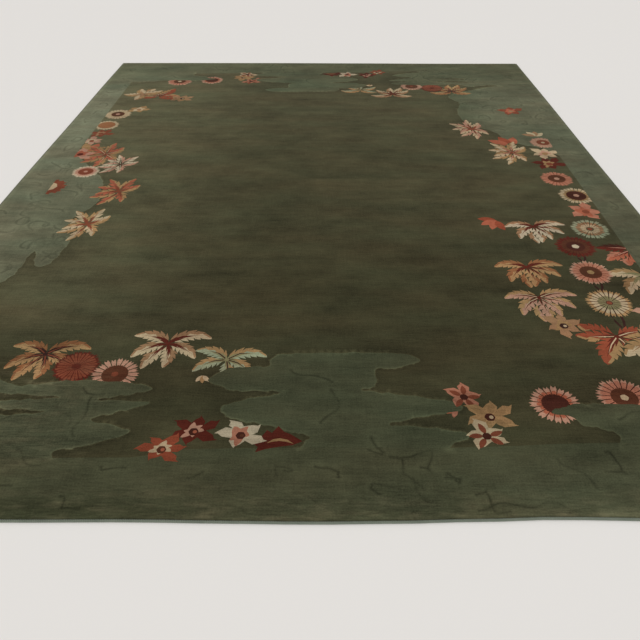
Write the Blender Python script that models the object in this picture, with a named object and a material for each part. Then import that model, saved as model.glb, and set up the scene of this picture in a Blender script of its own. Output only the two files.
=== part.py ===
"""Hand-knotted Chinese Art Deco room carpet, 9 x 12 ft, lying flat.

Metres, +Z up. The carpet lies on z = 0 with its length along Y and its
origin under the middle of its outline. The knotted body is one flat solid.
Its two long sides are overcast selvedge cords and its two short ends are
overcast bindings, each a solid of its own.
"""
import bpy
import bmesh

# ---------------------------------------------------------------- driving sizes
WIDTH = 2.74                # over the two selvedge cords
LENGTH = 3.66               # over the two end bindings
THICKNESS = 0.009           # pile and foundation together

SELVEDGE_WIDTH = 0.006      # overcast cord down each long side
SELVEDGE_HEIGHT = 0.0065
BINDING_WIDTH = 0.007       # overcast cord along each short end
BINDING_HEIGHT = 0.007
GAP = 0.0003                # between neighbouring solids

STATIONS_ALONG = 36         # straight steps in one long side
STATIONS_ACROSS = 27        # straight steps in one short end

# How far the worn outline steps in from its straight rectangle.
# Columns: place along the edge from -0.5 to 0.5 of its length, step in (m).
NEAR_END_STEP_IN = (
    (-0.50, 0.0040), (-0.42, 0.0030), (-0.34, 0.0008), (-0.26, 0.0004),
    (-0.15, 0.0033), (-0.07, 0.0012), (0.00, 0.0000), (0.07, 0.0032),
    (0.14, 0.0095), (0.22, 0.0176), (0.28, 0.0158), (0.36, 0.0120),
    (0.50, 0.0090),
)
FAR_END_STEP_IN = (
    (-0.50, 0.0060), (-0.30, 0.0020), (-0.10, 0.0000), (0.10, 0.0030),
    (0.30, 0.0070), (0.50, 0.0030),
)
LEFT_SIDE_STEP_IN = (
    (-0.50, 0.0030), (-0.32, 0.0006), (-0.14, 0.0026), (0.02, 0.0000),
    (0.20, 0.0022), (0.36, 0.0008), (0.50, 0.0034),
)
RIGHT_SIDE_STEP_IN = (
    (-0.50, 0.0026), (-0.30, 0.0010), (-0.10, 0.0000), (0.08, 0.0024),
    (0.28, 0.0006), (0.50, 0.0030),
)

# Side of the knotted body, from its underside up to its shorn face.
# Columns: inset from the body's outline (m), height as a share of THICKNESS.
BODY_PROFILE = ((0.0, 0.0), (0.0, 0.60), (0.0015, 0.86), (0.0050, 1.0))

# Section of an overcast cord, anticlockwise, with a flat foot.
# Columns: across as a share of its width, up as a share of its height.
CORD_SECTION = (
    (-0.25, 0.00), (0.25, 0.00), (0.50, 0.28), (0.50, 0.72),
    (0.25, 1.00), (-0.25, 1.00), (-0.50, 0.72), (-0.50, 0.28),
)

PILE_GREEN = (0.045, 0.050, 0.026, 1.0)
SELVEDGE_GREEN = (0.062, 0.068, 0.050, 1.0)
BINDING_TEAL = (0.072, 0.086, 0.080, 1.0)


# ---------------------------------------------------------------- outline
def step_in(table, along, span):
    """Smooth step-in of a worn edge at a distance from the edge's middle."""
    place = max(-0.5, min(0.5, along / span))
    for (start, step_a), (end, step_b) in zip(table, table[1:]):
        if place <= end:
            share = (place - start) / (end - start)
            ease = share * share * (3.0 - 2.0 * share)
            return step_a + (step_b - step_a) * ease
    return table[-1][1]


def near_edge(x, inset):
    return -LENGTH / 2 + step_in(NEAR_END_STEP_IN, x, WIDTH) + inset


def far_edge(x, inset):
    return LENGTH / 2 - step_in(FAR_END_STEP_IN, x, WIDTH) - inset


def left_edge(y, inset):
    return -WIDTH / 2 + step_in(LEFT_SIDE_STEP_IN, y, LENGTH) + inset


def right_edge(y, inset):
    return WIDTH / 2 - step_in(RIGHT_SIDE_STEP_IN, y, LENGTH) - inset


def steps(start, end, count):
    """Evenly spaced values from start up to, but not including, end."""
    return [start + (end - start) * i / count for i in range(count)]


def outline(side_inset, end_inset):
    """Anticlockwise outline, inset from the worn edges of the carpet."""
    half = LENGTH / 2
    left_near = left_edge(-half, side_inset)
    right_near = right_edge(-half, side_inset)
    left_far = left_edge(half, side_inset)
    right_far = right_edge(half, side_inset)
    points = []
    for x in steps(left_near, right_near, STATIONS_ACROSS):
        points.append((x, near_edge(x, end_inset)))
    for y in steps(near_edge(right_near, end_inset), far_edge(right_far, end_inset), STATIONS_ALONG):
        points.append((right_edge(y, side_inset), y))
    for x in steps(right_far, left_far, STATIONS_ACROSS):
        points.append((x, far_edge(x, end_inset)))
    for y in steps(far_edge(left_far, end_inset), near_edge(left_near, end_inset), STATIONS_ALONG):
        points.append((left_edge(y, side_inset), y))
    return points


# ---------------------------------------------------------------- solids
def wool(name, colour):
    """Matt wool yarn, for a solid of its own."""
    material = bpy.data.materials.new(name)
    material.use_nodes = True
    shader = material.node_tree.nodes["Principled BSDF"]
    shader.inputs["Base Color"].default_value = colour
    shader.inputs["Roughness"].default_value = 0.95
    shader.inputs["Metallic"].default_value = 0.0
    return material


def skin(name, rings, material):
    """Closed solid through equal rings of points, flat-capped at both ends."""
    mesh = bpy.data.meshes.new(name)
    shape = bmesh.new()
    loops = [[shape.verts.new(point) for point in ring] for ring in rings]
    for lower, upper in zip(loops, loops[1:]):
        for i in range(len(lower)):
            j = (i + 1) % len(lower)
            shape.faces.new((lower[i], lower[j], upper[j], upper[i]))
    shape.faces.new(list(reversed(loops[0])))
    shape.faces.new(loops[-1])
    bmesh.ops.recalc_face_normals(shape, faces=shape.faces)
    shape.to_mesh(mesh)
    shape.free()
    solid = bpy.data.objects.new(name, mesh)
    solid.data.materials.append(material)
    bpy.context.collection.objects.link(solid)
    return solid


def knotted_body():
    """One flat body of pile on its foundation, its arris shorn round."""
    side = SELVEDGE_WIDTH + GAP
    end = BINDING_WIDTH + GAP
    rings = []
    for inset, share in BODY_PROFILE:
        ring = outline(side + inset, end + inset)
        rings.append([(x, y, THICKNESS * share) for x, y in ring])
    return skin("carpet", rings, wool("wool_pile", PILE_GREEN))


def selvedge(name, edge, hand, material):
    """Overcast cord down one long side; hand is -1 for left, 1 for right."""
    half = LENGTH / 2
    corner = edge(-half, 0.0)
    start = near_edge(corner, 0.0)
    end = far_edge(edge(half, 0.0), 0.0)
    rings = []
    for y in steps(start, end, STATIONS_ALONG) + [end]:
        middle = edge(y, SELVEDGE_WIDTH / 2)
        rings.append([(middle - hand * across * SELVEDGE_WIDTH, y, up * SELVEDGE_HEIGHT)
                      for across, up in CORD_SECTION])
    return skin(name, rings, material)


def end_binding(name, edge, corner_y, hand, material):
    """Overcast cord along one short end; hand is -1 for near, 1 for far."""
    start = left_edge(corner_y, SELVEDGE_WIDTH + GAP)
    end = right_edge(corner_y, SELVEDGE_WIDTH + GAP)
    rings = []
    for x in steps(start, end, STATIONS_ACROSS) + [end]:
        middle = edge(x, BINDING_WIDTH / 2)
        rings.append([(x, middle - hand * across * BINDING_WIDTH, up * BINDING_HEIGHT)
                      for across, up in CORD_SECTION])
    return skin(name, rings, material)


for old in list(bpy.data.objects):
    bpy.data.objects.remove(old, do_unlink=True)

selvedge_yarn = wool("selvedge_yarn", SELVEDGE_GREEN)
binding_yarn = wool("binding_yarn", BINDING_TEAL)

knotted_body()
selvedge("selvedge_left", left_edge, -1, selvedge_yarn)
selvedge("selvedge_right", right_edge, 1, selvedge_yarn)
end_binding("end_binding_near", near_edge, -LENGTH / 2, -1, binding_yarn)
end_binding("end_binding_far", far_edge, LENGTH / 2, 1, binding_yarn)
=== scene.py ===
"""Looks of a hand-knotted Chinese Art Deco room carpet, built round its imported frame."""
import cmath
import math
import random

import bpy
import numpy as np
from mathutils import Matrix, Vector
from mathutils.geometry import delaunay_2d_cdt
from mathutils.kdtree import KDTree


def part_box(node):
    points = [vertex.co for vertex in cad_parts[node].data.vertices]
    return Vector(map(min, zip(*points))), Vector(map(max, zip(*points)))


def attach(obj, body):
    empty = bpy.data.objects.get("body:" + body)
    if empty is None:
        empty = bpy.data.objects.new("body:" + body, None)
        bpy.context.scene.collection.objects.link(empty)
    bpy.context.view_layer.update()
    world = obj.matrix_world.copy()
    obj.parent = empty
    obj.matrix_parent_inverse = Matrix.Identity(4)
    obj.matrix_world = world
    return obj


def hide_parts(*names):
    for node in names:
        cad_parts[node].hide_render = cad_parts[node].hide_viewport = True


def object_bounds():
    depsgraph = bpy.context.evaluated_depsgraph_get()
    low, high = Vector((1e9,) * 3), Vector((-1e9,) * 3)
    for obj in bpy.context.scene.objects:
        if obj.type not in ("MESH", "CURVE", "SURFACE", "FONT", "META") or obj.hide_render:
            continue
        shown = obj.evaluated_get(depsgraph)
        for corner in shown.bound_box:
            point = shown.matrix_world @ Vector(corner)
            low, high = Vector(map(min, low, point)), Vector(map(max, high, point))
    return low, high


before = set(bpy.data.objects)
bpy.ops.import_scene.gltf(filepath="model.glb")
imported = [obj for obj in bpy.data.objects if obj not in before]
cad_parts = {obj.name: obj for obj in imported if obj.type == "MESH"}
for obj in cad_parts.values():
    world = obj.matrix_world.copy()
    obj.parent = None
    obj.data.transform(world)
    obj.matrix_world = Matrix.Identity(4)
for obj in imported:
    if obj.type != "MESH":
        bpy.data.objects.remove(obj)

cad_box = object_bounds()

# The knotted carpet. Dyed wool is knotted on a cotton foundation in one piece,
# and the pile is shorn level. The figure is knotted in yarns of other colours,
# then the shears cut it round: clouds bevelled, scrolls incised in the border.
low, high = cad_box
WIDTH = high.x - low.x
LENGTH = high.y - low.y
PILE_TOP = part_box("carpet")[1].z
END_WEAR = 0.0025  # the worn near end stands back by this, on average
NEAR_LINE = low.y + END_WEAR
SIDE_BORDER = 0.165  # width of the plain border at the sides

# Dyed yarns, as a dyer's card shows them in daylight (sRGB, 0 to 255).
YARNS = {
    "field": (61, 58, 40),
    "border": (65, 66, 48),
    "cloud": (65, 67, 49),
    "ochre": (155, 121, 84),
    "tan": (140, 106, 78),
    "cream": (171, 150, 121),
    "ivory": (174, 159, 135),
    "gold": (143, 112, 77),
    "celadon": (134, 137, 112),
    "moss": (120, 112, 80),
    "pink": (166, 125, 105),
    "salmon": (160, 105, 84),
    "coral": (152, 86, 64),
    "rust": (130, 66, 46),
    "sienna": (132, 88, 58),
    "brick": (116, 62, 44),
    "red": (84, 35, 26),
    "maroon": (66, 34, 26),
    "brown": (81, 47, 32),
    "plum": (54, 33, 29),
}
YARN_NAMES = list(YARNS)
figure = []  # painted in order: (outline, yarn)


def paint(yarn, points, centre=0.0, size=1.0, turn=0.0):
    """Lay one area, drawn about zero, at its place in the figure, over those before it."""
    spin = cmath.rect(size, math.radians(turn))
    placed = [centre + spin * p for p in points]
    area = sum((a.conjugate() * b).imag for a, b in zip(placed, placed[1:] + placed[:1]))
    figure.append((placed if area > 0 else placed[::-1], YARN_NAMES.index(yarn)))


def spot(across, from_end, half_turn=False):
    """Place on the carpet, from its centre line and its near end."""
    place = complex(across, NEAR_LINE + from_end)
    return -place if half_turn else place


def ring(count, radius, wobble=0.0):
    """Points round a circle, every second one drawn in by the wobble."""
    return [cmath.rect(radius * (1 - wobble * (k % 2)), math.tau * k / count) for k in range(count)]


def bent(angle, bend, length, along, aside):
    """Point a share along a bent middle line from zero, and aside from it."""
    start = math.radians(angle)
    curve = math.radians(bend) or 1e-6
    heading = cmath.exp(1j * (start + curve * along))
    middle = length * (heading - cmath.exp(1j * start)) / (1j * curve)
    return middle + 1j * heading * aside


def swell(along):
    """Half width of a petal or lobe along its length, as a share of its widest."""
    return math.sin(math.pi * min(1.0, along) ** 0.90) ** 0.80


def petal(angle, bend, length, width, steps=7):
    """Plain pointed petal."""
    shares = [k / steps for k in range(1, steps)]
    left = [bent(angle, bend, length, t, width / 2 * swell(t)) for t in shares]
    right = [bent(angle, bend, length, t, -width / 2 * swell(t)) for t in reversed(shares)]
    return [0j] + left + [bent(angle, bend, length, 1.0, 0.0)] + right


def toothed_edge(angle, bend, length, width, side, teeth, depth):
    """One edge of a leaf lobe, from root to tip, its teeth leaning forward."""
    points = []
    for k in range(teeth):
        valley, belly, peak = (0.10 + (0.80 * k + step) / teeth for step in (0.0, 0.30, 1.02))
        reaches = (swell(valley) * (1 - depth), swell(belly) * (1 - 0.22 * depth),
                   swell(peak) + 0.80 * depth * (1.10 - peak))
        points += [bent(angle, bend, length, along, side * width / 2 * reach)
                   for along, reach in zip((valley, belly, peak), reaches)]
    return points


# Lobes of the kinds of leaf. Columns: heading of the root and its bend in
# degrees, length and width as shares of the leaf's size, teeth on each edge.
# A width below zero puts the shade tone inside the bend.
FULLNESS = 1.06  # lobes as knotted, against the widths below
CLEARANCE = 1.14  # field left round each lobe, against its width
ARCHED_LEAF = (
    (228, 30, 1.08, 0.37, 5), (292, -40, 0.92, 0.35, 5), (182, 62, 1.04, 0.36, 5),
    (-8, -58, 1.00, 0.35, 5), (124, 76, 1.06, 0.38, 5), (58, -96, 1.24, 0.38, 5),
)
FAN_LEAF = (
    (246, 34, 1.06, 0.36, 4), (286, -34, 1.00, 0.36, 4), (318, -50, 0.92, 0.32, 4),
    (200, 62, 1.02, 0.36, 4), (2, -66, 1.02, 0.36, 4), (142, 78, 1.00, 0.35, 5),
    (40, -74, 1.12, 0.36, 5),
)
MAPLE_LEAF = (
    (268, -34, 1.16, 0.34, 3), (-46, -38, 0.88, 0.34, 3), (234, -40, 1.04, 0.34, 3),
    (146, 38, 0.88, 0.36, 3), (20, 46, 0.86, 0.37, 4), (84, -20, 1.10, 0.36, 3),
    (114, 24, 1.10, 0.36, 3), (190, 30, 0.82, 0.35, 3),
)
BROAD_LEAF = (
    (160, -20, 0.92, 0.50, 5), (184, -14, 0.96, 0.42, 4), (296, -28, 0.58, 0.40, 4),
    (-2, -20, 1.10, 0.42, 5), (30, -34, 0.95, -0.36, 5), (226, 28, 1.12, -0.50, 5),
)
SIDE_LEAF = (
    (250, -18, 1.00, 0.50, 4), (300, -30, 0.90, 0.46, 4), (20, -40, 1.00, 0.46, 4),
    (90, -30, 0.90, 0.46, 4), (200, 24, 1.12, 0.52, 4),
)
HALF_LEAF = ((236, 30, 0.86, 0.50, 4), (206, 14, 1.00, 0.40, 4))
ONE_LOBE = ((174, 8, 1.05, 0.42, 4),)


def leaf(centre, size, turn, lobes, light, shade, heart, vein):
    """Serrated leaf in two tones, with flames from its heart up each lobe."""
    for angle, bend, length, width, teeth in lobes:
        lobe = (angle + turn, bend, length * size)
        wide = FULLNESS * width * size
        outside = -math.copysign(1, bend)
        back, front = (toothed_edge(*lobe, wide, side, teeth, depth)
                       for side, depth in ((outside, 2.0 / teeth), (-outside, 2.3 / teeth)))
        outline = [0j] + back + [bent(*lobe, 1.0, 0.0)] + front[::-1]
        fold = [bent(*lobe, t, outside * wide * aside) for t, aside in (
            (0.96, 0.0), (0.74, 0.16), (0.66, 0.02), (0.50, 0.14), (0.40, -0.05), (0.22, 0.06))]
        flame = [bent(*lobe, t, wide * aside) for t, aside in (
            (0.0, 0.0), (0.10, -0.16), (0.38, -0.20), (0.24, -0.10), (0.62, -0.09), (0.36, -0.03),
            (0.80, 0.04), (0.36, 0.06), (0.54, 0.16), (0.22, 0.10), (0.32, 0.21), (0.08, 0.15))]
        line = [bent(*lobe, t, aside) for t, aside in (
            (0.02, -0.0022), (0.34, -0.0020), (0.66, 0.0), (0.34, 0.0020), (0.02, 0.0022))]
        paint("field", petal(*lobe, CLEARANCE * wide), centre)
        paint(light, outline, centre)
        paint(shade, back + fold, centre)
        paint(heart, flame, centre)
        if vein:
            paint(vein, line, centre)
    paint(heart, ring(12, 0.08 * size, 0.3), centre)


def rosette(centre, radius, petals, rings, spoke, disc, disc_share, dot, dot_share):
    """Round daisy: rings of forked petals on dark spokes, a disc and a dot."""
    paint(spoke, ring(petals * 2, radius * 0.84), centre)
    pitch = math.tau / petals
    thread = [cmath.rect(radius * share, pitch * 0.5 + aside) for share, aside in (
        (0.16, -0.07), (0.50, -0.045), (0.90, -0.025), (0.90, 0.025), (0.50, 0.045), (0.16, 0.07))]
    for outer, inner, yarn in rings:
        tip = 0.89 if outer == 1.0 else 0.97
        shape = [cmath.rect(radius * share, pitch * turn) for share, turn in (
            (inner, -0.36), (outer * 0.84, -0.42), (outer, -0.24), (outer * tip, 0.0),
            (outer, 0.24), (outer * 0.84, 0.42), (inner, 0.36))]
        for k in range(petals):
            paint(yarn, shape, centre, 1 + 0.04 * math.sin(3.7 * k + petals), 360 * k / petals)
    if disc:
        paint(disc, ring(petals * 2, radius * disc_share, 0.07), centre)
    else:
        for k in range(0, petals, 2):
            paint(spoke, thread, centre, 1.0, 360 * k / petals)
    if dot:
        paint(dot, ring(10, radius * dot_share, 0.1), centre)


def star(size, turn, points, notch, curl):
    """Star flower's outline: broad petals, their tips drawn to one side."""
    outline = []
    half = 180 / points
    for k in range(points):
        angle = turn + 2 * half * (k + 0.13 * math.sin(4.1 * k + turn))
        long = size * (1.0 + 0.15 * math.sin(2.7 * k + turn))
        outline += [cmath.rect(reach, math.radians(angle + aside)) for reach, aside in (
            (notch * size, -half), (0.70 * long, -0.66 * half), (0.88 * long, curl - 0.24 * half),
            (long, curl), (0.86 * long, 0.20 * half), (0.72 * long, 0.58 * half))]
    return outline


def lily(centre, size, turn, petals, edge, fill, heart, eye, dot):
    """Star flower, a little flattened: edged petals, an inner star, an eye and a dot."""
    flattened = [complex(p.real, 0.86 * p.imag) for p in star(size, turn, petals, 0.46, 7.0)]
    paint(edge, flattened, centre + 0.10j * size)
    if fill:
        for k in range(petals):
            angle = turn + 360 * (k + 0.13 * math.sin(4.1 * k + turn)) / petals
            root = centre + cmath.rect(0.14 * size, math.radians(angle))
            paint(fill, petal(angle - 4, 12, 0.62 * size, 0.27 * size), root)
    if heart:
        inner = star(2.85 * size / petals, 12, petals, 0.60, -6.0)
        slanting = [complex(p.real, 0.74 * p.imag) for p in inner]
        aside = cmath.rect(0.07 * size, math.radians(turn + 100))
        paint(heart, slanting, centre + aside, turn=turn + 18)
    paint(eye, ring(12, 0.20 * size, 0.08), centre)
    if dot:
        paint(dot, ring(8, 0.085 * size), centre + 0.05 * size)


def side_flower(centre, size, turn, outer, crescent):
    """Star flower seen from the side: three petals over a crescent."""
    petals = [complex(*p) for p in (
        (-1.0, -0.12), (-0.62, 0.16), (-0.42, 0.50), (-0.22, 0.36), (0.02, 0.72), (0.26, 0.42),
        (0.52, 0.30), (1.0, -0.06), (0.62, -0.26), (0.10, -0.34), (-0.42, -0.46), (-0.80, -0.62),
        (-0.72, -0.36))]
    arc = [complex(*p) for p in (
        (-0.40, -0.18), (-0.16, 0.02), (0.12, 0.08), (0.42, 0.0), (0.66, -0.20), (0.36, -0.10),
        (0.10, -0.06), (-0.18, -0.10))]
    paint(outer, petals, centre, size, turn)
    paint(crescent, arc, centre, size, turn)


def bud(centre, size, turn, yarns):
    """Closed flower: overlapping petals fanned to one side."""
    for k, yarn in enumerate(yarns):
        angle = turn + 38 * (k - (len(yarns) - 1) / 2)
        paint(yarn, petal(angle, 20, size, 0.46 * size), centre)


def rounded(points, steps=8):
    """Closed smooth line through a few points."""
    smooth = []
    count = len(points)
    for k in range(count):
        a, b, c, d = (points[(k + n) % count] for n in (-1, 0, 1, 2))
        for step in range(steps):
            t = step / steps
            smooth.append(0.5 * (2 * b + (c - a) * t + (2 * a - 5 * b + 4 * c - d) * t ** 2
                                 + (3 * b - 3 * c + d - a) * t ** 3))
    return smooth


# Clouds that drift in from the borders. Each row is one cloud's lobes and
# notches in turn. Columns of each point: across, from the near end.
CLOUDS = {
    "left_bank": (
        (-1.27, 0.92), (-1.16, 0.945), (-1.122, 0.975), (-1.098, 1.014), (-1.088, 1.066),
        (-1.087, 1.126), (-1.078, 1.192), (-1.060, 1.150), (-1.044, 1.094), (-1.012, 1.078),
        (-0.985, 1.110), (-0.972, 1.180), (-0.968, 1.280), (-1.004, 1.360), (-1.008, 1.450),
        (-0.952, 1.575), (-0.968, 1.680), (-0.984, 1.790), (-1.060, 1.900), (-1.27, 2.06)),
    "right_bank": (
        (1.27, 2.10), (1.150, 2.190), (1.060, 2.230), (0.985, 2.300), (0.950, 2.400),
        (0.880, 2.470), (0.815, 2.560), (0.800, 2.700), (0.835, 2.850), (0.790, 2.960),
        (0.900, 3.060), (1.27, 3.120)),
}
END_CLOUDS = {
    "corner_bank": (
        (-1.27, 0.14), (-0.70, 0.14), (-0.668, 0.206), (-0.590, 0.226), (-0.486, 0.279),
        (-0.604, 0.317), (-0.540, 0.346), (-0.458, 0.384), (-0.602, 0.396), (-0.520, 0.416),
        (-0.458, 0.441), (-0.540, 0.466), (-0.700, 0.474), (-0.860, 0.452), (-0.960, 0.500),
        (-1.100, 0.470), (-1.27, 0.52)),
    "middle_bank": (
        (-0.030, 0.14), (-0.014, 0.236), (-0.004, 0.262), (-0.064, 0.284), (-0.124, 0.304),
        (-0.200, 0.320), (-0.250, 0.352), (-0.226, 0.384), (-0.150, 0.408), (-0.080, 0.428),
        (-0.160, 0.434), (-0.222, 0.434), (-0.300, 0.476), (-0.262, 0.520), (-0.200, 0.536),
        (-0.130, 0.540), (-0.104, 0.590), (0.080, 0.602), (0.270, 0.600), (0.330, 0.572),
        (0.270, 0.536), (0.196, 0.526), (0.190, 0.458), (0.150, 0.440), (0.280, 0.418),
        (0.420, 0.386), (0.404, 0.356), (0.300, 0.334), (0.220, 0.306), (0.330, 0.296),
        (0.430, 0.270), (0.366, 0.228), (0.300, 0.14)),
    "corner_pocket": (
        (-0.960, 0.420), (-0.860, 0.418), (-0.720, 0.404), (-0.800, 0.396), (-0.900, 0.392)),
    "low_pocket": (
        (-0.940, 0.360), (-0.840, 0.358), (-0.740, 0.350), (-0.830, 0.336), (-0.920, 0.338)),
    "near_bank": (
        (0.640, 0.14), (0.700, 0.230), (0.790, 0.238), (0.830, 0.256), (0.822, 0.280),
        (0.790, 0.297), (0.756, 0.304), (0.738, 0.318), (0.722, 0.338), (0.700, 0.345),
        (0.674, 0.358), (0.706, 0.376), (0.780, 0.390), (0.980, 0.388), (1.080, 0.410),
        (1.27, 0.40), (1.27, 0.14)),
}
# The end border, its inner edge wavering. Columns: across, from the near end.
END_BORDER = (
    (-2.0, -1.0), (2.0, -1.0), (2.0, 0.247), (0.81, 0.247), (0.65, 0.241), (0.55, 0.234),
    (0.42, 0.228), (0.34, 0.225), (0.0, 0.225), (-0.155, 0.221), (-0.337, 0.216), (-0.39, 0.200),
    (-0.46, 0.188), (-0.64, 0.186), (-2.0, 0.190),
)


def cloud(points, half_turn=False, yarn="cloud"):
    """Cloud, or a pocket of the field in one, with a softly rippled edge."""
    smooth = rounded([spot(*point, half_turn) for point in points])
    rippled = []
    run = 0.0
    for before, point, after in zip(smooth[-1:] + smooth[:-1], smooth, smooth[1:] + smooth[:1]):
        run += abs(point - before)
        swing = (0.0026 * math.sin(95 * run + 2 * math.sin(17 * run))
                 + 0.0015 * math.sin(230 * run + 3 * math.sin(31 * run)))
        rippled.append(point + 1j * (after - before) / abs(after - before) * swing)
    paint(yarn, rippled)


# Leaves. Columns: across, from the near end, size, turn, kind,
# light tone, shade tone, heart, vein, also at the far end.
LEAVES = (
    (-0.822, 0.588, 0.124, 0, ARCHED_LEAF, "ochre", "sienna", "plum", "brick", True),
    (-0.453, 0.641, 0.124, 0, ARCHED_LEAF, "cream", "tan", "red", None, True),
    (-0.259, 0.566, 0.112, -4, ARCHED_LEAF[1:], "celadon", "gold", "moss", "plum", True),
    (0.975, 0.686, 0.138, 0, BROAD_LEAF, "rust", "gold", "red", "cream", True),
    (1.078, 0.662, 0.118, 0, SIDE_LEAF, "cream", "gold", "tan", None, True),
    (0.782, 0.896, 0.130, 2, FAN_LEAF, "pink", "ochre", "red", "cream", False),
    (0.789, 1.089, 0.130, 0, FAN_LEAF, "ochre", "sienna", "red", None, False),
    (0.892, 1.390, 0.128, 2, FAN_LEAF, "ivory", "tan", "red", None, False),
    (1.200, 1.030, 0.150, 0, FAN_LEAF, "cream", "gold", "moss", None, False),
    (1.210, 1.204, 0.130, 0, HALF_LEAF, "coral", "salmon", "red", "pink", False),
    (1.215, 1.222, 0.120, 0, ONE_LOBE, "red", "maroon", "red", "pink", False),
    (0.977, 2.132, 0.132, 0, MAPLE_LEAF, "cream", "gold", "brick", "pink", False),
    (0.835, 2.445, 0.124, 20, MAPLE_LEAF, "cream", "pink", "brick", None, False),
    (-0.937, 1.397, 0.124, 0, MAPLE_LEAF, "cream", "ochre", "brick", None, False),
    (-0.887, 1.693, 0.126, -6, MAPLE_LEAF, "coral", "ochre", "brick", None, False),
    (-1.054, 2.092, 0.136, 10, MAPLE_LEAF, "coral", "gold", "brick", "cream", False),
    (-0.952, 1.975, 0.106, -20, MAPLE_LEAF, "ivory", "pink", "maroon", "celadon", False),
)
# Rosettes. Columns: across, from the near end, radius, petals, rings of petals
# (outer and inner share, yarn), spokes, disc and its share, dot and its share,
# also at the far end.
ROSETTES = (
    (-0.709, 0.533, 0.072, 30, ((1.0, 0.66, "red"), (0.84, 0.2, "brick")), "red", None, 0,
     "red", 0.12, True),
    (-0.584, 0.500, 0.070, 20, ((1.0, 0.50, "pink"),), "field", "brown", 0.58, "brick", 0.16, True),
    (0.692, 0.386, 0.073, 18, ((1.0, 0.50, "pink"), (0.72, 0.5, "coral")), "brown", "maroon", 0.56,
     None, 0, True),
    (0.896, 0.414, 0.079, 20, ((1.0, 0.62, "pink"), (0.84, 0.4, "salmon")), "maroon", "brown", 0.50,
     "cream", 0.16, True),
    (1.014, 0.866, 0.079, 22, ((1.0, 0.60, "ochre"), (0.80, 0.40, "cream"), (0.50, 0.15, "moss")),
     "plum", None, 0, "brick", 0.13, False),
    (1.013, 1.054, 0.077, 20, ((1.0, 0.50, "pink"), (0.84, 0.50, "salmon")), "brick", "brown", 0.53,
     "gold", 0.18, False),
    (1.014, 1.234, 0.079, 26, ((1.0, 0.45, "red"), (0.70, 0.40, "brown")), "maroon", "maroon", 0.46,
     "ivory", 0.19, False),
    (1.116, 1.371, 0.077, 22, ((1.0, 0.62, "celadon"), (0.72, 0.4, "tan"), (0.50, 0.2, "cream")),
     "field", None, 0, "brick", 0.15, False),
    (1.153, 1.665, 0.077, 24, ((1.0, 0.50, "cream"), (0.72, 0.5, "gold")), "field", "maroon", 0.58,
     "pink", 0.18, False),
    (1.116, 1.834, 0.075, 22, ((1.0, 0.50, "salmon"),), "brick", "brown", 0.55, "pink", 0.18, False),
    (1.168, 2.259, 0.068, 22, ((1.0, 0.50, "pink"),), "tan", "brick", 0.5, "cream", 0.16, False),
    (-1.094, 1.894, 0.066, 22, ((1.0, 0.50, "ivory"), (0.76, 0.5, "pink")), "pink", "brick", 0.56,
     "pink", 0.16, False),
    (-1.158, 2.485, 0.068, 24, ((1.0, 0.60, "cream"),), "celadon", "sienna", 0.72, None, 0, False),
    (-1.218, 1.735, 0.082, 9, ((1.0, 0.30, "brick"),), "brick", "cream", 0.52, "rust", 0.16, False),
    (-1.140, 2.652, 0.076, 24, ((1.0, 0.50, "cream"),), "gold", "brown", 0.50, "pink", 0.18, False),
)
# Lilies. Columns: across, from the near end, size, turn, petals, edge, fill,
# heart, eye, dot, also at the far end.
LILIES = (
    (-0.312, 0.276, 0.070, 20, 6, "red", None, "pink", "maroon", "coral", True),
    (-0.386, 0.214, 0.066, 0, 6, "rust", None, "cream", "brown", "coral", True),
    (-0.184, 0.264, 0.068, 35, 5, "ivory", None, "salmon", "maroon", "brown", True),
    (0.438, 0.412, 0.062, 82, 5, "salmon", "brick", None, "maroon", None, True),
    (0.496, 0.335, 0.076, 20, 6, "ochre", "gold", None, "maroon", "cream", True),
    (0.474, 0.266, 0.064, 30, 5, "cream", "brick", None, "maroon", None, True),
    (0.821, 0.739, 0.074, 22, 6, "tan", None, "gold", "plum", "cream", True),
    (1.140, 0.816, 0.060, 40, 5, "pink", None, "cream", "brick", None, False),
    (1.146, 1.515, 0.085, 70, 5, "salmon", None, "coral", "brick", None, False),
    (1.128, 1.995, 0.088, 45, 6, "red", None, "gold", "brick", None, False),
    (1.140, 2.118, 0.082, 15, 6, "cream", None, "pink", "gold", None, False),
    (1.109, 2.714, 0.080, 20, 5, "brick", None, "coral", "tan", None, False),
    (-1.182, 2.092, 0.084, 10, 5, "pink", None, "coral", "red", None, False),
    (-1.175, 2.262, 0.068, 30, 6, "pink", None, "cream", "brick", None, False),
    (-1.156, 2.362, 0.070, 45, 6, "brick", None, "tan", "brick", None, False),
    (-1.038, 2.727, 0.070, 0, 5, "gold", None, "cream", "tan", None, False),
)
# Flowers seen from the side. Columns: across, from the near end, size, turn,
# petals' yarn, crescent's yarn, also at the far end.
SIDE_FLOWERS = (
    (-0.086, 0.250, 0.068, 0, "red", "gold", True),
)
# Buds. Columns: across, from the near end, size, turn, yarns, also far end.
BUDS = (
    (-0.319, 0.496, 0.033, 262, ("cream", "gold", "cream"), True),
    (0.410, 0.366, 0.036, 200, ("salmon", "coral", "salmon"), True),
    (0.752, 1.436, 0.080, 216, ("rust", "coral", "coral", "rust"), False),
    (0.985, 2.220, 0.120, 96, ("coral", "rust", "coral"), False),
    (1.150, 2.345, 0.070, 90, ("cream", "tan", "cream", "tan"), False),
    (-1.165, 2.130, 0.110, 60, ("gold", "coral", "gold"), False),
)


def stem(centre, length, spread):
    """Forked dark stem under a rosette."""
    for side in (-1, 1):
        top = side * spread + 1j * length
        shape = [-0.004 * side, 0.004 * side, 0.6 * top + 0.008 * side, top + 0.004, top - 0.004,
                 0.6 * top - 0.001 * side]
        paint("plum", shape, centre)


def turns(both):
    """False for the near end, and True too for the copy at the far end."""
    return (False, True) if both else (False,)


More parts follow.
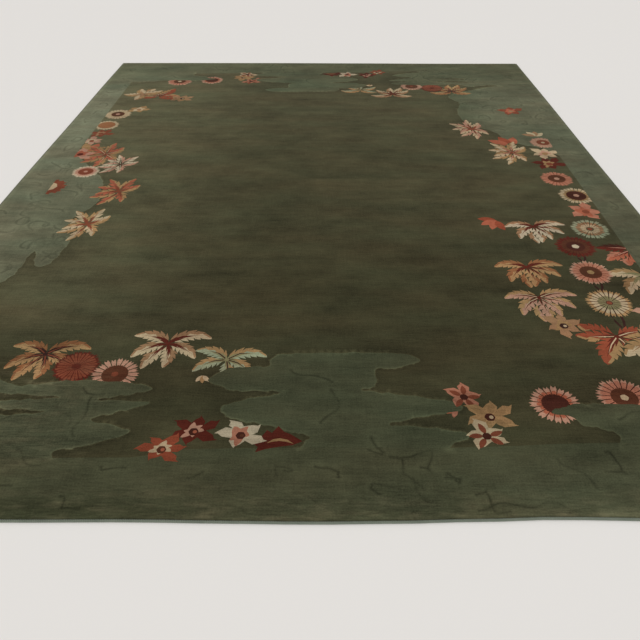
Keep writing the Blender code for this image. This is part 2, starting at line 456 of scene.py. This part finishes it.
def lay(motif, table):
    """Draw each row of a table of motifs."""
    for across, from_end, size, turn, *rest, both in table:
        for half_turn in turns(both):
            motif(spot(across, from_end, half_turn), size, turn + 180 * half_turn, *rest)


# Stems. Columns: from the near end, length, spread of the fork.
STEMS = ((0.715, 0.080, 0.016), (0.935, 0.045, 0.014), (1.120, 0.045, 0.014))
STEM_LINE = 1.012  # the rosettes on stems stand along this line

for bank in CLOUDS.values():
    cloud(bank)
for from_end, length, spread in STEMS:
    stem(spot(STEM_LINE, from_end), length, spread)
lay(bud, BUDS)
lay(leaf, LEAVES)
for across, from_end, *rest, both in ROSETTES:
    for half_turn in turns(both):
        rosette(spot(across, from_end, half_turn), *rest)
for name, bank in END_CLOUDS.items():
    for half_turn in (False, True):
        cloud(bank, half_turn, "field" if "pocket" in name else "cloud")
for half_turn in (False, True):
    paint("border", [spot(*point, half_turn) for point in END_BORDER])
lay(side_flower, SIDE_FLOWERS)
lay(lily, LILIES)


side_line = WIDTH / 2 - SIDE_BORDER
for side in (-1, 1):
    paint("border", [complex(side * x, y) for x, y in (
        (side_line, -LENGTH), (WIDTH, -LENGTH), (WIDTH, LENGTH), (side_line, LENGTH))])

# The line where the pile's face begins to round over: the worn outline of the
# CAD body's foot, anticlockwise, drawn in evenly.
ARRIS = 0.005  # width of the shorn-round edge of the pile
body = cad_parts["carpet"].data.vertices
feet = {(round(v.co.x, 5), round(v.co.y, 5)) for v in body if v.co.z < 1e-4}
low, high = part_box("carpet")
shrink_x = 1 - 2 * ARRIS / (high.x - low.x)
shrink_y = 1 - 2 * ARRIS / (high.y - low.y)
outline = [complex(p.real * shrink_x, p.imag * shrink_y)
           for p in sorted((complex(*foot) for foot in feet), key=cmath.phase)]


# The shears also draw thin scrolls in the pile of the borders and clouds.
# Columns: across, from the near end, heading in degrees, arcs, first curl,
# share of steps that turn a sharp corner.
SCROLLS = (
    (0.165, 0.262, -92, 12, 0, 0.16), (0.240, 0.192, -88, 14, 0, 0.10), (0.410, 0.036, 0, 26, 0, 0),
    (0.210, 0.196, 4, 14, 0, 0.14), (0.320, 0.214, -90, 9, 0, 0.10), (0.262, 0.128, -90, 9, 0, 0.05),
    (0.060, 0.044, 176, 12, 0, 0.02), (-0.830, 0.242, -40, 16, 2, 0.10), (0.060, 0.440, -80, 18, -5, 0),
    (-0.060, 0.520, -70, 16, 5, 0), (-0.715, 0.378, -80, 12, -4, 0), (-0.626, 0.404, -106, 18, 1, 0),
    (-0.803, 0.240, -62, 22, 3, 0), (-0.660, 0.442, -70, 9, 6, 0), (-0.900, 0.300, -20, 14, 3, 0.1),
    (0.640, 0.190, -80, 14, 5, 0), (-1.110, 1.200, 82, 26, -20, 0), (-1.070, 1.500, 96, 30, 12, 0),
    (-1.140, 1.340, 120, 26, -22, 0), (-1.050, 1.690, 80, 26, 12, 0), (0.900, 2.600, 70, 26, -18, 0),
    (1.010, 2.420, 84, 26, 18, 0), (0.960, 2.820, 100, 24, 20, 0), (0.850, 0.330, 20, 16, -6, 0),
    (-0.980, 0.330, 10, 20, 5, 0), (-1.060, 0.430, -20, 20, -6, 0), (0.960, 0.300, 6, 18, 6, 0),
    (-1.120, 1.060, 60, 22, 22, 0), (-1.020, 1.100, 120, 26, 24, 0), (-1.020, 1.240, 100, 18, -26, 0),
)
ARC = 0.0085  # length of one arc of a scroll
SCROLL_CLEAR = 0.019  # plain pile between the scrolls and the edge
WANDER = random.Random(1930)


def scroll(across, from_end, heading, arcs, curl, corners, half_turn=False):
    """Winding line: a growing curl, or a stiff line that turns some sharp corners."""
    point = spot(across, from_end, half_turn)
    points = [point]
    pace = WANDER.uniform(0.22, 0.46)
    for k in range(arcs):
        if corners:
            heading += curl + WANDER.uniform(-15, 15) + WANDER.choice((-82, 82)) * (WANDER.random() < corners)
        else:
            heading += curl * (0.25 + 1.5 * (k / arcs) ** 1.5) + 12 * math.cos(pace * k)
            heading += WANDER.uniform(-9, 9)
        point += (-1 if half_turn else 1) * cmath.rect(ARC, math.radians(heading))
        if max(abs(point.real) - WIDTH / 2, abs(point.imag) - LENGTH / 2) > -SCROLL_CLEAR:
            break
        points.append(point)
    return points


# The drawn scrolls, then others strewn over the sides, the side clouds and the ends.
scrolls = []
for row in SCROLLS:
    for half_turn in turns(row[1] < 0.6):
        scrolls.append(scroll(*row, half_turn))
for side in (-1, 1):
    for step in range(26):
        across = side * (side_line + SIDE_BORDER * WANDER.uniform(0.15, 0.70))
        scrolls.append(scroll(across, 0.18 + 0.13 * step, WANDER.choice((80, 100, -85)),
                              WANDER.randint(12, 26), WANDER.choice((-22, -14, 16, 24)), 0))
for left, right, start, end in ((-1.20, -1.02, 1.05, 1.85), (0.88, 1.18, 2.35, 3.00)):
    for step in range(13):
        scrolls.append(scroll(WANDER.uniform(left, right), start + (end - start) * step / 12,
                              WANDER.choice((70, 100, -85)), WANDER.randint(12, 22),
                              WANDER.choice((-28, -20, 20, 28)), 0))
for half_turn in (False, True):
    for step in range(18):
        across = -1.14 + 0.135 * step
        scrolls.append(scroll(across, WANDER.uniform(0.022, 0.17), WANDER.choice((0, 178, 4, -88, 174)),
                              WANDER.randint(7, 15), 0, 0.13, half_turn))


# The figure's areas overlap as they were painted. The last painted shows.
def within(places, loop):
    """Which places lie inside a closed line, by how often it winds round them."""
    start = np.array(loop)[None, :]
    end = np.roll(start, -1, axis=1)
    place = places[:, None]
    left = ((end - start).conj() * (place - start)).imag > 0
    rises = (start.imag <= place.imag) & (end.imag > place.imag) & left
    falls = (start.imag > place.imag) & (end.imag <= place.imag) & ~left
    return rises.sum(axis=1) != falls.sum(axis=1)


def yarns_at(places):
    """Yarn shown at each place, -1 off the carpet."""
    yarns = np.where(within(places, outline), YARN_NAMES.index("field"), -1)
    on_carpet = np.flatnonzero(yarns >= 0)
    spots = places[on_carpet]
    for loop, yarn in figure:
        edge = np.array(loop)
        near = np.flatnonzero((spots.real > edge.real.min()) & (spots.real < edge.real.max())
                              & (spots.imag > edge.imag.min()) & (spots.imag < edge.imag.max()))
        yarns[on_carpet[near[within(spots[near], loop)]]] = yarn
    return yarns


MERGE = 0.00002  # points closer than this become one


def net(places, links):
    """Triangles over the carpet that keep these lines: points, triangles, yarns, sources."""
    flat, _, faces, sources, _, _ = delaunay_2d_cdt(
        [Vector((p.real, p.imag)) for p in places], links, [], 0, MERGE, True)
    points = np.array([complex(*p) for p in flat])
    faces = np.array(faces)
    yarns = yarns_at(points[faces].mean(axis=1))
    shown = yarns >= 0
    return points, faces[shown].tolist(), yarns[shown].tolist(), sources


corners = []
links = []
for loop in [outline] + [points for points, _ in figure]:
    first = len(corners)
    corners += loop
    links += [(first + k, first + (k + 1) % len(loop)) for k in range(len(loop))]
plan, triangles, shown_yarns, _ = net(corners, links)

meetings = {}
for triangle, yarn in zip(triangles, shown_yarns):
    for a, b in zip(triangle, triangle[1:] + triangle[:1]):
        meetings.setdefault((min(a, b), max(a, b)), []).append(yarn)
seams = []  # (start, end, yarn, yarn) where two yarns meet
for (a, b), yarns in meetings.items():
    if len(yarns) == 2 and yarns[0] != yarns[1]:
        seams.append((complex(plan[a]), complex(plan[b]), *yarns))

GROUND = [YARN_NAMES.index(name) for name in ("field", "border", "cloud")]
FIELD, BORDER, CLOUD = GROUND
bank_seams = [(a, b) for a, b, *pair in seams if sorted(pair) == sorted((FIELD, CLOUD))]
cut_seams = [(a, b) for a, b, *pair in seams if (pair[0] in GROUND) != (pair[1] in GROUND)]


def on_banks(run):
    """The first stretch of a scroll that stays on a border or a cloud."""
    stray = np.flatnonzero(~np.isin(yarns_at(np.array(run)), (BORDER, CLOUD)))
    return run[:stray[0]] if len(stray) else run


scrolls = [run for run in map(on_banks, scrolls) if len(run) > 4]
scroll_seams = [pair for run in scrolls for pair in zip(run, run[1:])]


def nearest_to(lines, spacing=0.0012):
    """Search tree over points set closely along these lines."""
    points = []
    for a, b in lines:
        count = max(1, math.ceil(abs(b - a) / spacing))
        points += [a + (b - a) * k / count for k in range(count + 1)]
    tree = KDTree(len(points))
    for k, point in enumerate(points):
        tree.insert((point.real, point.imag, 0.0), k)
    tree.balance()
    return lambda p: tree.find((p.real, p.imag, 0.0))[2]


to_bank = nearest_to(bank_seams)
to_cut = nearest_to(cut_seams)
to_scroll = nearest_to(scroll_seams)
to_any = nearest_to([(a, b) for a, b, *_ in seams] + scroll_seams)
to_outline = nearest_to(list(zip(outline, outline[1:] + outline[:1])), 0.004)

BANK_REACH = (0.0035, 0.007, 0.018)  # where the shading of a cloud's edge changes
CUT_REACH = (0.0024, 0.0046)  # the cut round a flower: its half width, then level
SCROLL_REACH = (0.0046, 0.0088)  # an incised scroll: its half width, then level


def flanks(lines, reaches):
    """Points beside the middle of each line, at set distances."""
    points = []
    for a, b in lines:
        if abs(b - a) < 0.0008:
            continue
        across = 1j * (b - a) / abs(b - a)
        points += [(a + b) / 2 + side * reach * across for reach in reaches for side in (-1, 1)]
    return points


def caps(runs, reach):
    """Points round the two ends of each winding line."""
    return [end + cmath.rect(reach, math.tau * k / 6) for run in runs for end in (run[0], run[-1])
            for k in range(6)]


def brink(insets, pitch):
    """Points just inside the outline."""
    points = []
    for a, b in zip(outline, outline[1:] + outline[:1]):
        inward = 1j * (b - a) / abs(b - a)
        parts = math.ceil(abs(b - a) / pitch)
        points += [a + (b - a) * (k + 0.5) / parts + inset * inward
                   for inset in insets for k in range(parts)]
    return points


def spread(pitch):
    """Even rows of points over the whole carpet."""
    columns, rows = round(WIDTH / pitch), round(LENGTH / pitch)
    return [complex(WIDTH * ((i + 0.5 * (j % 2)) / columns - 0.5), LENGTH * (j / rows - 0.5))
            for i in range(columns + 1) for j in range(rows + 1)]


def thinned(points, clear, cell):
    """Points clear of every line and the arris, at most one in each cell."""
    kept = {}
    on_carpet = within(np.array(points), outline)
    for p in np.array(points)[on_carpet].tolist():
        key = (round(p.real / cell), round(p.imag / cell))
        if key not in kept and to_any(p) > clear and to_outline(p) > ARRIS:
            kept[key] = p
    return list(kept.values())


def flat_net(extra, lines, longest):
    """Net of the carpet with these lines and points: points, triangles, yarns, rim."""
    places = list(outline)
    links = [(k, (k + 1) % len(outline)) for k in range(len(outline))]
    for a, b in lines:
        parts = math.ceil(abs(b - a) / longest)
        links += [(len(places) + k, len(places) + k + 1) for k in range(parts)]
        places += [a + (b - a) * k / parts for k in range(parts + 1)]
    points, faces, yarns, sources = net(places + extra, links)
    rim = {}
    for k, ids in enumerate(sources):
        rim.update({i: k for i in ids if i < len(outline)})
    return points.tolist(), faces, yarns, [rim[k] for k in range(len(outline))]


PILE_CUT = 0.0008  # depth of the shears' cut round a flower
BANK_CUT = 0.0012  # depth of the bevel along a cloud
SCROLL_CUT = 0.0009  # depth of an incised scroll
SHORN = 0.0006  # level pile below the highest tufts
LIE = 0.00025  # swell of a carpet lying on a floor
LIP = 0.0058  # painted highlight on a cloud's lip, out to here
SHADOW = (0.010, 0.080)  # the field is darker beyond a cloud: close by, and wide
RIDGE = 0.0050  # half width of the painted highlight beside a scroll
RIM = 0.016  # width of the paler pile along the outline


def fall(distance, reach):
    """1 on a line, falling evenly to 0 at its reach."""
    return max(0.0, 1.0 - distance / reach)


def relief(p):
    """Height of the shorn pile at a place."""
    slow = math.sin(3.1 * p.imag + 4.0 * p.real)
    lie = LIE * (math.sin(7.1 * p.real + 1.3) * math.sin(5.3 * p.imag) + slow)
    cut = PILE_CUT * fall(to_cut(p), CUT_REACH[0])
    bank = BANK_CUT * fall(to_bank(p), BANK_REACH[0])
    incised = SCROLL_CUT * fall(to_scroll(p), SCROLL_REACH[0])
    return PILE_TOP - SHORN + lie - max(cut, bank, incised)


def shade(p, yarn):
    """Painted light and shade along the bevels: a painted highlight on a cloud's lip, painted shadow beyond
    it, painted shade in the scrolls' cuts with a painted highlight beside them, and paler pile along the
    outline.
    """
    bank = to_bank(p)
    swing = math.sin(23 * p.real + 37 * p.imag)
    middle = min(1.0, max(0.0, (LENGTH / 2 - 0.60 - abs(p.imag)) / 0.20))
    # Painted shadow on the field beyond a cloud, and a painted highlight on the cloud's lip.
    if bank > 0.002 and yarn == FIELD:
        painted_light = -0.20 * sum(fall(bank, reach) for reach in SHADOW)
    else:
        painted_light = (0.44 + 0.22 * swing) * (1 - 0.6 * middle) * fall(bank, LIP)
    # Painted shade in a scroll's groove, with a painted highlight on the pile beside it.
    groove = to_scroll(p)
    groove_shade = -(0.42 - 0.20 * middle) * fall(groove, SCROLL_REACH[0] * (1 + 0.4 * middle))
    ridge_highlight = (0.12 + 0.05 * middle) * fall(abs(groove - SCROLL_REACH[1]), RIDGE)
    worn = 0.22 * fall(to_outline(p), RIM)
    return painted_light + (0.70 + 0.30 * swing) * (groove_shade + ridge_highlight) + worn


def light_of(srgb):
    """Linear colour of a dyed yarn."""
    shares = [c / 255 for c in srgb]
    return [c / 12.92 if c <= 0.04045 else ((c + 0.055) / 1.055) ** 2.4 for c in shares] + [1.0]


# Points of the pile's net beside its lines. Columns: points, least distance
# from any line, cell that holds one point.
face_extra = []
for points, clear, cell in (
        (flanks(cut_seams, CUT_REACH), 0.0019, 0.0020),
        (flanks(bank_seams, BANK_REACH), 0.0028, 0.003),
        (flanks(scroll_seams, SCROLL_REACH) + caps(scrolls, SCROLL_REACH[1]), 0.0024, 0.002),
        (brink((0.007, 0.019), 0.03), 0.003, 0.004),
        (spread(0.035), 0.012, 0.010)):
    face_extra += thinned(points, clear, cell)
back_extra = thinned(spread(0.08), 0.012, 0.010)
seam_lines = [(a, b) for a, b, *_ in seams]
face_points, face_triangles, face_yarns, face_rim = flat_net(
    face_extra, seam_lines + scroll_seams, 0.03)
back_points, back_triangles, back_yarns, back_rim = flat_net(back_extra, seam_lines, 0.2)

# Edge of the body from the pile's face down to its foot.
# Columns: how far out from the arris line, height.
EDGE = ((0.0035, 0.0080), (0.0050, 0.0056), (0.0050, 0.0008), (0.0043, 0.0))
count = len(outline)
outward = []
for k in range(count):
    run = outline[(k + 1) % count] - outline[k - 1]
    outward.append(-1j * run / abs(run))

vertices = [(p.real, p.imag, relief(p)) for p in face_points]
back_start = len(vertices)
vertices += [(p.real, p.imag, 0.0) for p in back_points]
loops = [face_rim]
for out, height in EDGE:
    loops.append(list(range(len(vertices), len(vertices) + count)))
    vertices += [((p + n * out).real, (p + n * out).imag, height) for p, n in zip(outline, outward)]
loops.append([back_start + k for k in back_rim])

faces = [tuple(face) for face in face_triangles]
yarns = list(face_yarns)
for upper, lower in zip(loops, loops[1:]):
    for k in range(count):
        n = (k + 1) % count
        faces.append((upper[k], lower[k], lower[n], upper[n]))
        yarns.append(BORDER)
faces += [tuple(back_start + k for k in reversed(face)) for face in back_triangles]
yarns += back_yarns

mesh = bpy.data.meshes.new("carpet_pile")
mesh.from_pydata(vertices, [], faces)
mesh.validate()
carpet = bpy.data.objects.new("carpet_pile", mesh)
bpy.context.scene.collection.objects.link(carpet)
mesh.shade_smooth()


def ease(value, start, end):
    """Smooth rise from 0 at the start to 1 at the end."""
    share = np.clip((value - start) / (end - start), 0.0, 1.0)
    return share * share * (3 - 2 * share)


# The side borders are a paler dye lot. Light is painted into the ground yarns: the left side and the far part
# lighter, and other places lighter or darker.
# Columns: change in the field's lightness, in the borders' and clouds', then
# the places between which it sets in, across and along from the middle.
SIDE_TONE = np.array(light_of((80, 80, 62)))
PAINTED_LIGHT_BY_PLACE = (
    (0.66, 0.34, ((-0.20, -1.00),), ((-1.45, -0.85),)),
    (0.14, 0.14, (), ((-0.95, -0.45),)),
    (0.16, 0.16, (), ((-0.70, 0.20),)),
    (0.16, 0.16, (), ((0.10, 1.00),)),
    (0.22, 0.22, ((-0.90, -1.25),), ((-0.15, 0.25),)),
    (0.0, 0.20, ((-1.00, -1.20),), ((-1.20, -0.90), (-0.30, -0.60))),
    (0.14, 0.0, ((0.40, 0.90),), ((-0.70, -0.10),)),
    (0.0, 0.24, ((-0.40, -0.75),), ((-1.72, -1.58), (-1.20, -1.42))),
    (0.20, 0.20, ((0.35, 0.60),), ((-1.60, -1.70),)),
    (0.0, -0.07, ((0.95, 1.15),), ()),
    (-0.22, -0.22, ((-0.20, -0.50),), ((-1.74, -1.79),)),
    (0.20, 0.0, ((-0.70, -0.95),), ((-1.10, -0.90), (-0.65, -0.80))),
)
ABRASH_AND_LIGHT_TINT = (0.97, 1.0, 1.16, 0.0)  # the abrash and the painted light take most from the yellow
ABRASH = 1.11  # a paler band of field, this far from the near end

dyes = np.array([light_of(dye) for dye in YARNS.values()])
corner_yarns = np.repeat(np.array(yarns), [len(face) for face in faces])
corner_places = np.array(vertices)[np.concatenate([np.array(face) for face in faces])]
x, y = corner_places[:, 0:1], corner_places[:, 1:2]
from_ends = LENGTH / 2 - np.abs(y)
is_bank = np.isin(corner_yarns, (BORDER, CLOUD))[:, None]
is_ground = np.isin(corner_yarns, GROUND)[:, None]

colours = dyes[corner_yarns]
sideways = ease(np.abs(x), 0.70, 1.05) * ease(from_ends, 0.15, 0.80)
sideways = sideways * np.where(corner_yarns[:, None] == CLOUD, 0.8, 1.0) * is_bank
colours = colours + (SIDE_TONE - colours) * sideways
abrash = np.exp(-((y - NEAR_LINE - ABRASH) / 0.045) ** 2) * ease(x, 0.05, -0.70)
abrash_and_painted_light = 0.20 * abrash * (1 - is_bank)
# Painted light and shade by place, from the table, added to the abrash.
for field_change, bank_change, *steps in PAINTED_LIGHT_BY_PLACE:
    change = np.where(is_bank, bank_change, field_change)
    for places, way in zip((x, y), steps):
        for start, end in way:
            change = change * ease(places, start, end)
    abrash_and_painted_light = abrash_and_painted_light + change
# The abrash and the painted light change the ground yarns' colour.
colours = colours * (1 + abrash_and_painted_light * is_ground * ABRASH_AND_LIGHT_TINT)
# The flowers nearest the ends are darker.
darker_near_ends = 0.24 * (1 - is_ground) * ease(from_ends, 0.52, 0.36)
darker_near_ends = darker_near_ends * ease(x * np.sign(y), -0.64, -0.54)
colours = colours * (1 - darker_near_ends * (1.0, 1.0, 1.0, 0.0))
yarn_colour = mesh.attributes.new("yarn", "FLOAT_COLOR", "CORNER")
yarn_colour.data.foreach_set("color", colours.astype(np.float32).ravel())
# The painted light and shade of the bevels and scrolls, kept for each point of the pile.
painted_light_and_shade = mesh.attributes.new("painted_light_and_shade", "FLOAT", "POINT")
painted_light_values = [shade(p, yarn) for p, yarn in zip(face_points, yarns_at(np.array(face_points)))]
painted_light_and_shade.data.foreach_set("value", painted_light_values + [0.0] * (len(vertices) - len(painted_light_values)))

# Wear, from 0 to 1: along both ends, and on the clouds at the left of each end.
x, y, _ = np.array(vertices).T
from_ends = LENGTH / 2 - np.abs(y)
corner = ease(x * np.sign(y), 0.40, 0.80) * (1 - ease(np.abs(from_ends - 0.34), 0.14, 0.30))
worn = np.maximum(1 - ease(from_ends, 0.012, 0.15), 0.8 * corner)
wear = mesh.attributes.new("wear", "FLOAT", "POINT")
wear.data.foreach_set("value", worn.astype(np.float32))


class Value:
    """A shader socket. Arithmetic on it adds Math nodes."""

    def __init__(self, tree, socket):
        self.tree = tree
        self.socket = socket

    def node(self, kind, settings=None, output=0, **inputs):
        """Add any node; inputs are values or sockets, by name or _index."""
        node = self.tree.nodes.new(kind)
        for name, setting in (settings or {}).items():
            setattr(node, name, setting)
        for name, given in inputs.items():
            key = int(name[1:]) if name[0] == "_" else name.replace("_", " ")
            if isinstance(given, Value):
                self.tree.links.new(given.socket, node.inputs[key])
            else:
                node.inputs[key].default_value = given
        return Value(self.tree, node.outputs[output])

    def maths(self, operation, *terms):
        inputs = {f"_{k}": term for k, term in enumerate(terms)}
        return self.node("ShaderNodeMath", {"operation": operation}, **inputs)

    def __add__(self, other):
        return self.maths("ADD", self, other)

    def __sub__(self, other):
        return self.maths("SUBTRACT", self, other)

    def __rsub__(self, other):
        return self.maths("SUBTRACT", other, self)

    def __mul__(self, other):
        return self.maths("MULTIPLY", self, other)

    __radd__ = __add__
    __rmul__ = __mul__


def wool_shader(name, roughness, sheen, sheen_roughness, sheen_tint):
    """Wool yarn's even settings: material, node tree, shader node, Object coordinates."""
    material = bpy.data.materials.new(name)
    material.use_nodes = True
    tree = material.node_tree
    shader = tree.nodes["Principled BSDF"]
    shader.inputs["Roughness"].default_value = roughness
    shader.inputs["Specular IOR Level"].default_value = 0.05
    shader.inputs["Sheen Weight"].default_value = sheen
    shader.inputs["Sheen Roughness"].default_value = sheen_roughness
    shader.inputs["Sheen Tint"].default_value = sheen_tint
    place = Value(tree, tree.nodes.new("ShaderNodeTexCoord").outputs["Object"])
    return material, tree, shader, place


def grain(place, stretch, scale, detail):
    """Even noise from 0 to 1, stretched along an axis."""
    moved = place.node("ShaderNodeMapping", Vector=place, Scale=stretch)
    return moved.node("ShaderNodeTexNoise", Vector=moved, Scale=scale, Detail=detail)


BARE_TONE = (112, 104, 80)  # pile rubbed short
COOL_DYE = (0.95, 1.03, 1.01, 1.0)  # the dye drifts between these two tints
WARM_DYE = (1.05, 0.99, 0.96, 1.0)


def blend(share, one, other):
    """Colour between two, by a share from 0 to 1."""
    return share.node("ShaderNodeMix", {"data_type": "RGBA"}, 2, _0=share, _6=one, _7=other)


def dress(tree, shader, colour, height, strength, distance):
    """Link a yarn's colour and its fine relief to its shader."""
    bump = height.node("ShaderNodeBump", Height=height, Strength=strength, Distance=distance)
    tree.links.new(colour.socket, shader.inputs["Base Color"])
    tree.links.new(bump.socket, shader.inputs["Normal"])


def pile_material():
    """Cut wool pile: yarn colours, abrash bands, knots, wear, and the painted light and shade of the bevels
    and scrolls.
    """
    material, tree, shader, place = wool_shader("wool_pile", 0.92, 0.30, 0.25, (1.0, 0.97, 0.70, 1.0))
    yarn = place.node("ShaderNodeAttribute", {"attribute_name": "yarn"}, "Color")
    # The painted light and shade of the bevels and scrolls.
    painted_light = place.node("ShaderNodeAttribute", {"attribute_name": "painted_light_and_shade"}, "Fac")
    wear = place.node("ShaderNodeAttribute", {"attribute_name": "wear"}, "Fac")
    patches = grain(place, (1.0, 1.6, 1.0), 3.4, 3.0)
    bands = grain(place, (0.25, 7.0, 1.0), 2.6, 3.0)
    streaks = grain(place, (6.0, 40.0, 1.0), 1.0, 3.0)
    rows = grain(place, (26.0, 190.0, 1.0), 1.0, 2.0)
    warps = grain(place, (150.0, 16.0, 1.0), 1.0, 2.0)
    blots = grain(place, (1.0, 1.8, 1.0), 9.0, 3.0)
    tufts = grain(place, (1.0, 1.0, 1.0), 240.0, 2.0)
    cloudy = 0.95 * patches + 0.40 * bands + 0.60 * blots
    woven = 0.42 * streaks + (rows - 0.5) * (0.6 + 0.5 * wear) + 0.30 * warps + 0.85 * tufts
    # Here the painted light and shade lighten or darken the pile.
    light = (cloudy + woven - 0.76) * (1.0 + painted_light)
    scuffs = grain(place, (1.0, 3.0, 1.0), 14.0, 5.0)
    bare = place.node("ShaderNodeMath", {"operation": "MULTIPLY", "use_clamp": True},
                      _0=4.0 * scuffs - 1.9, _1=wear)
    rubbed = blend(0.30 * bare, yarn, light_of(BARE_TONE))
    lit = yarn.node("ShaderNodeVectorMath", {"operation": "SCALE"}, _0=rubbed, Scale=light)
    warmth = grain(place, (0.8, 2.6, 1.0), 2.4, 3.0)
    tint = blend(3.0 * warmth - 1.0, COOL_DYE, WARM_DYE)
    dyed = lit.node("ShaderNodeVectorMath", {"operation": "MULTIPLY"}, _0=lit, _1=tint)
    dress(tree, shader, dyed, tufts * 0.7 + rows * 0.6, 0.5, 0.0014)
    return material


mesh.materials.append(pile_material())
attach(carpet, "root")
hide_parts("carpet")


# Selvedges and end bindings. One length of plied wool yarn is wound over each
# edge, turn beside turn, so that it covers the cotton warps and the knots'
# backs. The sides are grey-green; the ends were overcast later in teal-grey.
def yarn_material(name, colour, flecks):
    """Plied wool wound round an edge: two tones, fine twist, matt."""
    material, tree, shader, place = wool_shader(name, 0.9, 0.3, 0.4, (0.85, 0.88, 0.80, 1.0))
    blotches = grain(place, (1.0, 1.0, 1.0), 26.0, 3.0)
    ply = grain(place, (1.0, 1.0, 1.0), 900.0, 1.0)
    mixed = blend(blotches, light_of(colour), light_of(flecks))
    lit = mixed.node("ShaderNodeVectorMath", {"operation": "SCALE"}, _0=mixed, Scale=0.7 + 0.6 * ply)
    dress(tree, shader, lit, ply, 0.4, 0.0005)
    return material


def edge_course(node, along):
    """Middle line of a CAD cord: places along it and across it, in order."""
    stations = {}
    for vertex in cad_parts[node].data.vertices:
        stations.setdefault(round(vertex.co[along], 4), []).append(vertex.co[1 - along])
    places = sorted(stations)
    return places, [(min(stations[s]) + max(stations[s])) / 2 for s in places]


WOUND_WIDTH = 0.0078  # over the yarn
TURN_PITCH = 0.0042  # one turn of the yarn to the next, about
SWOLLEN = 0.58  # radius of the yarn as a share of the pitch


def overcast(name, node, along, material):
    """Yarn wound along one edge; along is 0 for an end and 1 for a side."""
    low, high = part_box(node)
    span = high[along] - low[along]
    places, course = edge_course(node, along)
    height = high.z - low.z
    windings = round(span / TURN_PITCH)
    pitch = span / (windings + 1)
    core = WOUND_WIDTH / 2 - pitch * 0.5
    bpy.ops.mesh.primitive_circle_add(vertices=6, radius=pitch * SWOLLEN, location=(core, 0, 0),
                                      rotation=(math.pi / 2, 0, 0))
    cord = bpy.context.object
    cord.name = cord.data.name = name
    bpy.ops.object.transform_apply(location=True, rotation=True, scale=True)
    screw = cord.modifiers.new("winding", "SCREW")
    screw.screw_offset = pitch
    screw.iterations = windings
    screw.steps = screw.render_steps = 8
    screw.use_merge_vertices = False
    bpy.ops.object.modifier_apply(modifier="winding")
    bpy.ops.object.mode_set(mode="EDIT")
    bpy.ops.mesh.select_all(action="SELECT")
    bpy.ops.mesh.normals_make_consistent(inside=False)
    bpy.ops.object.mode_set(mode="OBJECT")
    for vertex in cord.data.vertices:
        x, y, z = vertex.co
        run = low[along] + z + pitch / 2
        middle = float(np.interp(run, places, course))
        up = max(0.0, height / 2 + y * height / WOUND_WIDTH)
        vertex.co = (middle + x, run, up) if along else (run, middle + x, up)
    cord.data.materials.append(material)
    cord.data.shade_smooth()
    cord.select_set(False)
    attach(cord, "root")
    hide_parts(node)
    return cord


for leftover in bpy.context.selected_objects:
    leftover.select_set(False)
side_yarn = yarn_material("selvedge_yarn", (84, 88, 66), (98, 100, 80))
end_yarn = yarn_material("binding_yarn", (98, 107, 95), (126, 132, 118))
cords = [
    overcast("selvedge_wrap_left", "selvedge_left", 1, side_yarn),
    overcast("selvedge_wrap_right", "selvedge_right", 1, side_yarn),
    overcast("binding_wrap_near", "end_binding_near", 0, end_yarn),
    overcast("binding_wrap_far", "end_binding_far", 0, end_yarn),
]


# The studio: a plain pale floor, soft light, and the camera standing in front
# of the near end, looking down the carpet.
bpy.ops.mesh.primitive_plane_add(size=40.0, location=(0.0, 0.0, -0.0005))
floor = bpy.context.object
floor.name = "studio_floor"
floor_material = bpy.data.materials.new("studio_floor")
floor_material.use_nodes = True
floor_shader = floor_material.node_tree.nodes["Principled BSDF"]
floor_shader.inputs["Base Color"].default_value = (0.82, 0.797, 0.768, 1.0)
floor_shader.inputs["Roughness"].default_value = 0.85
floor.data.materials.append(floor_material)

room = bpy.data.worlds.new("studio")
room.use_nodes = True
room.node_tree.nodes["Background"].inputs["Color"].default_value = (1.0, 0.99, 0.975, 1.0)
room.node_tree.nodes["Background"].inputs["Strength"].default_value = 0.50
bpy.context.scene.world = room

bpy.ops.object.light_add(type="SUN", location=(-1.0, -3.0, 4.0),
                         rotation=(math.radians(38), math.radians(-10), 0.0))
window = bpy.context.object
window.name = "window_light"
window.data.energy = 1.75
window.data.angle = math.radians(35)

STAND_BACK = 0.8503  # from the near line to under the lens
STAND_ASIDE = 0.0364  # to the right of the carpet's middle
EYE_HEIGHT = 1.2708  # above the pile
LIFT = math.radians(51.787)  # up from straight down
PAN = math.radians(0.422)  # to the left
bpy.ops.object.camera_add(location=(STAND_ASIDE, NEAR_LINE - STAND_BACK, EYE_HEIGHT + PILE_TOP),
                          rotation=(LIFT, 0.0, PAN))
camera = bpy.context.object
camera.data.lens = 35.0
camera.data.sensor_width = 36.0
bpy.context.scene.camera = camera
bpy.context.scene.view_settings.view_transform = "Standard"
